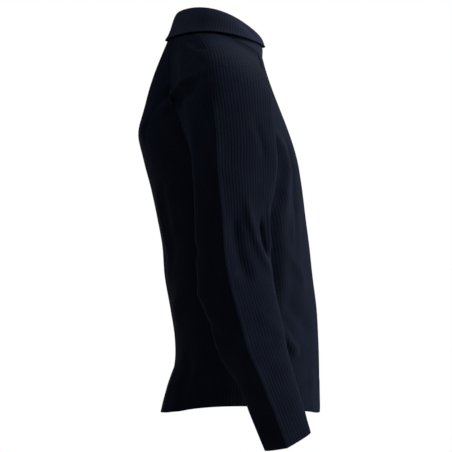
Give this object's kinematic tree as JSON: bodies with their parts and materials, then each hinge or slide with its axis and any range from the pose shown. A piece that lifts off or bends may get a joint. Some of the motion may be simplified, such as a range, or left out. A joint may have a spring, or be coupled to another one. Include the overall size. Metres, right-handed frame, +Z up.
{
  "type": "turtleneck sweater",
  "caption": "Close-fitting fine-rib knit sweater with a folded-over high collar, long raglan sleeves and a plain hem, filled out as when worn.",
  "frame": {"origin": "middle of the neck opening, where the collar is joined to the body", "axes": "+Z up, -Y out of the garment's front, +X towards the wearer's left; the garment is the same on both sides of X = 0"},
  "size_m": [0.553, 0.3077, 0.7183],
  "materials": {
    "front": "fine wool rib knit, dull",
    "back": "fine wool rib knit, dull",
    "sleeve_right": "fine wool rib knit, dull",
    "sleeve_left": "fine wool rib knit, dull",
    "collar": "fine wool rib knit, dull"
  },
  "bodies": {
    "root": {"front": "front", "back": "back", "sleeve_right": "sleeve_right", "sleeve_left": "sleeve_left", "collar": "collar"}
  },
  "joints": []
}
